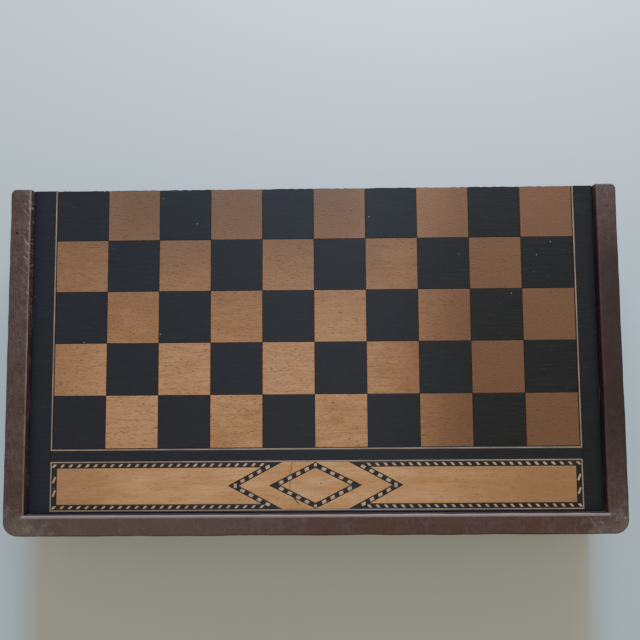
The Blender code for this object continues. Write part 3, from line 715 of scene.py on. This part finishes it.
def light_squares():
    """Light veneer, golden towards the front and browner towards the back, with painted shade towards the
    right and the left end.
    """
    finish = Finish("light_squares")
    place = finish.place()
    across, deep = finish.axis(place, "X"), finish.axis(place, "Y")
    tone = finish.node("ShaderNodeAttribute", {"attribute_name": "tone"}, {}, "Fac")
    figure = finish.node("ShaderNodeAttribute", {"attribute_name": "figure"}, {}, "Fac")
    shift = finish.node("ShaderNodeCombineXYZ", {}, {0: figure * 31, 1: figure * 17, 2: figure * 9})
    place = finish.vector("ADD", place, shift)
    wavy = finish.bent(place, (14, 14, 14), 1, 3)
    grain = finish.noise(wavy, (22, 1.5, 20), 4, 0.6)
    pores = finish.noise(wavy, (3.4, 0.62, 4), 2, 0.5)
    cloud = finish.noise(place, (26, 13, 20), 3)
    # Darker towards the right and a little at the left end: painted shade, as less light falls there than
    # on the middle of the box.
    handled_and_painted_light = (1 - across.rise(20, 135) * 0.95) * (1 - across.rise(-150, -240) * 0.5)
    brown = (cloud * 0.9 + tone * 0.25 - 0.1).rise(0.2, 0.75)
    colour = finish.mix(brown, (0.69, 0.280, 0.112), (0.49, 0.185, 0.066))
    colour = finish.mix(1 - handled_and_painted_light, colour, (0.185, 0.066, 0.025))
    colour = finish.mix(deep.rise(-35, 140) * handled_and_painted_light, colour, (0.190, 0.083, 0.042))
    colour = finish.mix(grain.rise(0.35, 0.75) * 0.4, colour, (0.23, 0.085, 0.036))
    colour = finish.mix(pores.rise(0.54, 0.70) * 0.65, colour, (0.105, 0.042, 0.022))
    roughness = 0.45 + grain * 0.15
    return finish.use(colour, roughness, grain * 0.6 + (1 - pores.rise(0.5, 0.7)), 0.06 * MM)


light_wood = light_squares()
black_wood = black_stain("black_squares", (0.0125, 0.0115, 0.0190), (0.0080, 0.0055, 0.0070))
for tray, parity in (("lid", 0), ("base", 1)):
    for name, wood, slot, remainder, seed in (
        ("dark_squares", black_wood, "black_veneer", parity, 3 + parity),
        ("light_squares", light_wood, "light_veneer", 1 - parity, 7 + parity),
    ):
        shape = squares_shape(remainder, seed)
        if tray == "base":
            turned_over(shape)
        fixed(f"{tray}_{name}_cut", shape, wood, slot, tray, f"{tray}_{name}")


# ---- Inlaid band --------------------------------------------------------------------------
# A light ground with loops of banding let into it: two long loops end in arrows that point
# away from each other, and a diamond stands between them. The banding is black with small
# light pieces glued in aslant, sawn off a made-up block in long strips.
BANDING = 4.3 * MM
BANDING_DROP = 0.03 * MM  # of the black strips, below their light pieces
ARROW_TIP = 73 * MM
ARROW_ANGLE = math.radians(28)
DIAMOND_ANGLE = math.radians(26.5)
LONG_PITCH = 6.95 * MM
END_PITCH = 11 * MM
POINT_PITCH = 7.9 * MM
LIGHT_PIECE = (2.6 * MM, 2.5 * MM)  # length along the run, and width
END_PIECE = (5.6 * MM, 1.7 * MM)
POINT_PIECE = (3.8 * MM, 2.7 * MM)
SLANT, SLIGHT_SLANT = 0.85, 0.2
END_LEAN = (0.38, 1)
VERTEX_BACK = 1.6 * MM  # from the point of the banding's middle line to its light piece
ARM_START = 0.8 * MM
DIAMOND_SHARES = (0.21, 0.42, 0.63, 0.84)
BAND_GAP = 0.12 * MM
HALVES_GAP = 0.1 * MM

band_x = (band_low.x + band_high.x) / 2
band_y = (band_low.y + band_high.y) / 2
ground_half = (band_high.x - band_low.x) / 2 - STRING - BAND_GAP
ground_rise = (band_high.y - band_low.y) / 2 - STRING - BAND_GAP


def arrow_outline(side, inset):
    """The outline of a long loop, inset from its outer edge, as points round the band's middle."""
    across, along = math.sin(ARROW_ANGLE), math.tan(ARROW_ANGLE)
    rise, end = ground_rise - inset, ground_half - inset
    vertex = ARROW_TIP - (BANDING - inset) / across
    tip = vertex - rise / along
    points = [(end, -rise), (end, rise), (tip, rise), (vertex, 0), (tip, -rise)]
    return [(side * x, y) for x, y in points]


def diamond_points(inset):
    rise = ground_rise - inset / math.cos(DIAMOND_ANGLE)
    wide = rise / math.tan(DIAMOND_ANGLE)
    return [(wide, 0), (0, rise), (-wide, 0), (0, -rise)]


def band_sheet(points, top=BOARD_TOP):
    return sheet([(band_x + x, band_y + y) for x, y in points], top)


def light_piece(middle, along, piece, slant):
    """The outline of one small light piece, leaning along its run of banding."""
    middle, along = Vector(middle), Vector(along).normalized()
    across = Vector((-along.y, along.x))
    length, width = piece
    forwards = along * length / 2
    sideways = across * width / 2 + along * slant * width / 2
    corners = ((-1, -1), (1, -1), (1, 1), (-1, 1))
    return [tuple(middle + forwards * i + sideways * j) for i, j in corners]


loops = {
    -1: (arrow_outline(-1, BAND_GAP), arrow_outline(-1, BANDING - BAND_GAP)),
    1: (arrow_outline(1, BAND_GAP), arrow_outline(1, BANDING - BAND_GAP)),
    0: (diamond_points(BAND_GAP), diamond_points(BANDING - BAND_GAP)),
}


def ground_shape():
    """The light wood: a panel in each long loop, the field between the arrows and the diamond."""
    panels = [arrow_outline(side, BANDING + BAND_GAP) for side in (-1, 1)]
    panels.append(diamond_points(BANDING + BAND_GAP))
    rise, along = ground_rise - BAND_GAP, math.tan(ARROW_ANGLE)
    vertex = ARROW_TIP - BANDING / math.sin(ARROW_ANGLE) - 2 * BAND_GAP
    tip = vertex - rise / along
    wide = diamond_points(-BAND_GAP)[0][0]
    near = HALVES_GAP
    for side in (-1, 1):
        half = [(near, rise), (tip, rise), (vertex, 0), (tip, -rise), (near, -rise), (wide, 0)]
        panels.append([(side * x, y) for x, y in half])
    return together([band_sheet(points) for points in panels])


def banding_shape(side):
    top = BOARD_TOP - BANDING_DROP
    return together([band_sheet(run, top) for run in runs(*loops[side])])


def banding_pieces_shape():
    """The light pieces: slanted on the long runs, like a rope at the ends, longer on the points."""
    middle = BANDING / 2
    pieces = []
    for side in (-1, 1):
        end_low, end_high, tip_high, vertex, tip_low = arrow_outline(side, middle)
        for end, tip in ((end_high, tip_high), (end_low, tip_low)):
            for number in range(int(abs(end[0] - tip[0]) / LONG_PITCH)):
                place = (end[0] - side * number * LONG_PITCH, end[1])
                pieces.append(light_piece(place, (1, 0), LIGHT_PIECE, -side * SLANT))
        for number in (-0.5, 0.5):
            pieces.append(light_piece((end_high[0], number * END_PITCH), END_LEAN, END_PIECE, 0))
        pieces.append(light_piece((vertex[0] - side * VERTEX_BACK, 0), (0, 1), POINT_PIECE, 0))
        for tip in (tip_high, tip_low):
            arm = Vector(tip) - Vector(vertex)
            for number in range(1, int(arm.length / POINT_PITCH) + 1):
                place = Vector(vertex) + arm.normalized() * (number * POINT_PITCH + ARM_START)
                pieces.append(light_piece(place, arm, POINT_PIECE, SLIGHT_SLANT))
    right, top, left, bottom = (Vector(point) for point in diamond_points(middle))
    for corner in (top, bottom):
        pieces.append(light_piece(corner, (1, 0), LIGHT_PIECE, 0))
        for other in (left, right):
            for share in DIAMOND_SHARES:
                place = corner.lerp(other, share)
                pieces.append(light_piece(place, other - corner, POINT_PIECE, SLIGHT_SLANT))
    return together([band_sheet(piece) for piece in pieces])


def band_ground():
    """Golden satinwood with its fine grain along the band, painted shade towards both ends, and three old
    marks on the lid's.
    """
    finish = Finish("band_ground")
    place = finish.place()
    across, deep = finish.axis(place, "X"), finish.axis(place, "Y")
    wavy = finish.bent(place, (22, 12, 14), 1, 3)
    grain = finish.noise(wavy, (26, 1.6, 20), 4, 0.6)
    pores = finish.noise(wavy, (4, 0.7, 4), 2, 0.5)
    cloud = finish.noise(place, (40, 11, 20), 3)
    colour = finish.mix(cloud.rise(0.3, 0.7), (0.86, 0.37, 0.140), (0.66, 0.26, 0.090))
    # Darker towards the right and the left end: painted shade, as on the squares.
    colour = finish.mix(across.rise(30, 220) * 0.8, colour, (0.33, 0.135, 0.050))
    colour = finish.mix(across.rise(-130, -230) * 0.75, colour, (0.36, 0.155, 0.070))
    colour = finish.mix(grain.rise(0.4, 0.75) * 0.4, colour, (0.40, 0.15, 0.055))
    colour = finish.mix(pores.rise(0.57, 0.73) * 0.55, colour, (0.20, 0.075, 0.032))
    wander = finish.noise(place, (30, 5, 30), 3) * 5
    out, up = across - band_x / MM, deep - band_y / MM
    crack = (out + 24 - up * 0.1 - wander).size().rise(0.45, 0.1) * up.rise(-9, -5)
    tear = (out * 0.76 + up * 0.65 + 19.6 + wander * 0.3).size().rise(0.9, 0.2)
    tear = tear * (up + 10).size().rise(6.5, 4)
    pit = ((out - 4.5).size() + (up - 1.4).size()).rise(0.9, 0.5)
    marks = crack.most(tear).most(pit) * finish.axis(place, "Z").rise(60, 70)
    colour = finish.mix(marks * 0.85, colour, (0.06, 0.030, 0.018))
    return finish.use(colour, 0.45 + grain * 0.15, grain * 0.6 + (1 - marks), 0.06 * MM)


black_banding = black_stain("black_banding", (0.018, 0.014, 0.013), (0.012, 0.009, 0.008))
on_both_trays("band_panels", ground_shape, band_ground(), "light_veneer", "band_ground")
for side, name in ((-1, "banding_left"), (1, "banding_right"), (0, "diamond")):
    on_both_trays(f"{name}_strips", lambda: banding_shape(side), black_banding, "black_veneer", name)
on_both_trays("banding_pieces", banding_pieces_shape, string_wood("holly_pieces", 1.5), "string_wood")


# ---- Pins ---------------------------------------------------------------------------------
# Three small nails that a repairer drove through the back row of the lid into the back rail.
def dark_steel():
    finish = Finish("dark_steel")
    rust = finish.noise(finish.place(), (0.8, 0.8, 0.8), 3)
    colour = finish.mix(rust.rise(0.4, 0.7), (0.05, 0.045, 0.042), (0.10, 0.055, 0.035))
    return finish.use(colour, 0.45 + rust * 0.2, rust, 0.05 * MM, Metallic=0.8)


nail_steel = dark_steel()
for number in (1, 2, 3):
    coat(f"lid_panel_pin_{number}", nail_steel)


# ---- Inside of the trays ------------------------------------------------------------------
# The table game's points are inlaid in a walnut lining, black and boxwood in turn, six at each
# end of each tray. A thin divider shuts off the trough for the men along the front rail.
points_low, points_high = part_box("lid_points_left")
other_low, other_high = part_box("lid_points_right")
POINTS = 6
POINT_GAP = 0.4 * MM
POINT_PROUD = 0.12 * MM
DIVIDER_EDGE = 0.7 * MM


def walnut():
    finish = Finish("walnut_lining")
    place = finish.place()
    wavy = finish.bent(place, (60, 40, 50), 2, 16)
    bands = finish.noise(wavy, (160, 6, 40), 3, 0.6)
    fine = finish.noise(wavy, (14, 0.8, 5), 3)
    colour = finish.mix(bands.rise(0.35, 0.7), (0.155, 0.083, 0.046), (0.075, 0.038, 0.022))
    colour = finish.mix(fine.rise(0.45, 0.75) * 0.5, colour, (0.045, 0.023, 0.014))
    return finish.use(colour, 0.42 + fine * 0.15, fine, 0.05 * MM)


def point_outline(left_end, number):
    """One long triangle, its base on the tray's end and its tip towards the middle."""
    pitch = (points_high.y - points_low.y) / POINTS
    back = points_high.y - number * pitch - POINT_GAP
    front = back - pitch + 2 * POINT_GAP
    if left_end:
        return [(points_low.x, front), (points_high.x, (front + back) / 2), (points_low.x, back)]
    return [(other_high.x, back), (other_low.x, (front + back) / 2), (other_high.x, front)]


def points_shape(parity):
    """Every second point, at both ends of a tray."""
    thickness = points_high.z - points_low.z
    points = [
        sheet(point_outline(left_end, number), points_high.z, thickness)
        for left_end in (True, False) for number in range(POINTS)
        if (number + left_end) % 2 == parity
    ]
    return together(points)


def lining_shape():
    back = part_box("lid_back_rail")[0].y
    outline = rectangle(points_low.x, other_high.x, FRONT_FACE + JOINT, back - JOINT)
    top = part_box("lid_panel")[0].z - CLEARANCE
    return sheet(outline, top, top - points_low.z - POINT_PROUD)


def inlay_wood(name, light, dark):
    finish = Finish(name)
    place = finish.place()
    fine = finish.noise(place, (16, 1.0, 6), 4)
    cloud = finish.noise(place, (40, 20, 20), 2)
    colour = finish.mix(fine.rise(0.4, 0.7) * 0.6 + cloud * 0.3, light, dark)
    return finish.use(colour, 0.4 + fine * 0.15, fine, 0.05 * MM)


on_both_trays("lining", lining_shape, walnut(), "mahogany")
point_black = inlay_wood("point_black", (0.020, 0.019, 0.019), (0.035, 0.033, 0.032))
point_light = inlay_wood("point_light", (0.52, 0.34, 0.17), (0.35, 0.20, 0.095))
both_ends = ("points_left", "points_right")
on_both_trays("points_black", lambda: points_shape(0), point_black, "black_veneer", *both_ends)
on_both_trays("points_light", lambda: points_shape(1), point_light, "boxwood")


def softened(node, radius, steps=2, angle=25):
    """A merged copy of a CAD node with its sharp edges eased."""
    shape = bmesh.new()
    shape.from_mesh(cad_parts[node].data)
    bmesh.ops.remove_doubles(shape, verts=shape.verts, dist=MERGE)
    bmesh.ops.dissolve_limit(
        shape, angle_limit=math.radians(1), verts=shape.verts, edges=shape.edges
    )
    sharp = [
        edge for edge in shape.edges
        if len(edge.link_faces) == 2 and edge.calc_face_angle() > math.radians(angle)
    ]
    eased(shape, sharp, radius, steps)
    return shape


divider_wood = plain_mahogany("mahogany_divider", "X")
for tray in TRAYS:
    node = f"{tray}_divider"
    fixed(f"{node}_wood", softened(node, DIVIDER_EDGE, 3), divider_wood, "mahogany", tray, node)


# ---- Men ----------------------------------------------------------------------------------
# Twenty light and twenty dark men lie on edge in the base tray's trough, one side at each end.
# Each is turned from boxwood, with a ring and a dished middle on both faces, and the dark side
# is ebonised.
MEN = 20
MAN_PROFILE = (  # radius and height above the man's middle
    (0, 3.0), (5.6, 3.0), (6.4, 3.5), (7.4, 3.5), (8.2, 2.9), (11.8, 2.9), (12.8, 4.0),
    (15.0, 4.15), (16.0, 3.8), (16.5, 3.0), (16.5, 0.9), (16.1, 0.5),
)
MAN_FACETS = 32


def man_shape(middle, spin):
    """One man, turned about X."""
    profile = [(r, h) for r, h in MAN_PROFILE] + [(r, -h) for r, h in reversed(MAN_PROFILE)]
    shape = bmesh.new()
    points = [shape.verts.new((0, r * MM, h * MM)) for r, h in profile]
    lines = [shape.edges.new(pair) for pair in zip(points, points[1:])]
    bmesh.ops.spin(
        shape, geom=points + lines, cent=(0, 0, 0), axis=(0, 0, 1),
        angle=math.tau, steps=MAN_FACETS, use_merge=True,
    )
    bmesh.ops.remove_doubles(shape, verts=shape.verts, dist=MERGE)
    bmesh.ops.recalc_face_normals(shape, faces=shape.faces)
    turn = Matrix.Rotation(math.radians(90), 4, "Y") @ Matrix.Rotation(spin, 4, "Z")
    bmesh.ops.transform(shape, matrix=Matrix.Translation(middle) @ turn, verts=shape.verts)
    return shape


def man_wood(name, light, dark, gloss):
    finish = Finish(name)
    place = finish.place()
    rings = finish.noise(place, (9, 3, 3), 3, 0.6)
    fine = finish.noise(place, (0.6, 1.2, 6), 2)
    colour = finish.mix(rings.rise(0.3, 0.7), light, dark)
    colour = finish.mix(fine.rise(0.5, 0.8) * 0.4, colour, dark)
    return finish.use(colour, gloss + rings * 0.12, fine, 0.04 * MM)


light_man = man_wood("boxwood_man", (0.56, 0.36, 0.16), (0.36, 0.20, 0.08), 0.3)
dark_man = man_wood("ebonised_man", (0.022, 0.018, 0.016), (0.045, 0.030, 0.024), 0.28)
lots = random.Random(11)
for node, wood, slot in (("men_light", light_man, "boxwood"), ("men_dark", dark_man, "ebonised")):
    low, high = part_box(node)
    pitch = (high.x - low.x) / MEN
    for number in range(MEN):
        middle = (low + high) / 2
        middle.x = low.x + pitch * (number + 0.5)
        shape = man_shape(middle, lots.uniform(0, math.tau))
        fixed(f"{node}_{number + 1:02d}", shape, wood, slot, "base", node)


# ---- Hinges -------------------------------------------------------------------------------
# Two brass butt hinges, let into the back rails and held by slotted brass screws. The brass has gone
# brown, and is bright in patches.
LEAF_EDGE = 0.2 * MM
SMALL_EDGE = 0.12 * MM


def old_brass(name, bright, dull):
    finish = Finish(name)
    place = finish.place()
    tarnish = finish.noise(place, (5, 5, 5), 4, 0.65)
    fine = finish.noise(place, (0.5, 0.5, 0.5), 2)
    colour = finish.mix(tarnish.rise(0.35, 0.65), bright, dull)
    roughness = 0.3 + tarnish * 0.2 + fine * 0.1
    return finish.use(colour, roughness, fine, 0.02 * MM, Metallic=1.0)


hinge_brass = old_brass("hinge_brass", (0.60, 0.41, 0.17), (0.30, 0.185, 0.075))
for name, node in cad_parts.items():
    if "hinge" in name:
        body = "lid" if name.startswith("lid") else "base"
        radius = SMALL_EDGE if "screw" in name or "pin" in name else LEAF_EDGE
        fixed(f"{name}_brass", softened(name, radius), hinge_brass, "brass", body, name)


# ---- Hooks --------------------------------------------------------------------------------
# Two cast brass hooks hang on round-headed screws at the front of the base tray. They swing up
# to close on the studs in the front of the lid.
HOOK_EDGE = 0.35 * MM
HEAD_EDGE = 0.15 * MM

hook_brass = old_brass("hook_brass", (0.68, 0.47, 0.20), (0.36, 0.225, 0.09))
for name, body, radius in (
    ("hook_left", "hook_left", HOOK_EDGE), ("hook_right", "hook_right", HOOK_EDGE),
    ("hook_screw_left", "base", HEAD_EDGE), ("hook_screw_right", "base", HEAD_EDGE),
    ("stud_left", "lid", HEAD_EDGE), ("stud_right", "lid", HEAD_EDGE),
):
    fixed(f"{name}_brass", softened(name, radius, 3), hook_brass, "brass", body, name)


# ---- Table, light and camera --------------------------------------------------------------
# A plain pale table. Cool daylight falls from a window well beyond the box, with a little more
# from its sill and from the ceiling, and a warm room fills the shadows.
TABLE_HALF = 3.0
TABLE_DROP = 0.05 * MM


def pale_table():
    finish = Finish("pale_table")
    place = finish.place()
    tone = finish.noise(place, (260, 260, 260), 2) * 0.2
    # Paler towards the back, nearer the window: painted light.
    share = finish.axis(place, "Y").rise(100, 400) + tone
    colour = finish.mix(share, (0.72, 0.745, 0.755), (0.86, 0.87, 0.875))
    return finish.use(colour, 0.6)


def soft_light(name, spot, target, size, power, colour):
    """A rectangle of light, size metres across, that faces a target."""
    lamp = bpy.data.lights.new(name, "AREA")
    lamp.shape, lamp.size, lamp.size_y = "RECTANGLE", *size
    lamp.energy, lamp.color = power, colour
    light = bpy.data.objects.new(name, lamp)
    light.location = spot
    light.rotation_euler = (Vector(target) - Vector(spot)).to_track_quat("-Z", "Y").to_euler()
    bpy.context.scene.collection.objects.link(light)


table = bmesh.new()
bmesh.ops.create_grid(table, x_segments=1, y_segments=1, size=TABLE_HALF)
bmesh.ops.translate(table, vec=(0, 0, -TABLE_DROP), verts=table.verts)
table_mesh = bpy.data.meshes.new("table")
table.to_mesh(table_mesh)
table.free()
table_mesh.materials.append(pale_table())
table_top = bpy.data.objects.new("table", table_mesh)
bpy.context.scene.collection.objects.link(table_top)

soft_light("window", (0.12, 3.00, 1.70), (0.0, 0.05, 0.04), (0.6, 0.5), 104, (0.205, 0.606, 1.0))
soft_light("sill", (0.14, 0.80, 0.42), (0.10, 0.40, 0.0), (0.6, 0.3), 6, (0.81, 0.89, 1.0))
soft_light("ceiling", (0.04, 0.10, 2.40), (0.04, 0.10, 0.0), (0.35, 2.2), 3, (1.0, 0.94, 0.86))
room = bpy.data.worlds.new("room")
room.use_nodes = True
walls = room.node_tree.nodes["Background"].inputs
walls["Color"].default_value = (1.0, 0.957, 0.73, 1.0)
walls["Strength"].default_value = 0.40
bpy.context.scene.world = room

lens = bpy.data.cameras.new("camera")
lens.lens, lens.sensor_width = 37.125, 36
camera = bpy.data.objects.new("camera", lens)
camera.location = (0.01228, -0.00935, 0.63546)
camera.rotation_euler = [math.radians(angle) for angle in (4.282, 0.694, -0.443)]
bpy.context.scene.collection.objects.link(camera)
bpy.context.scene.camera = camera
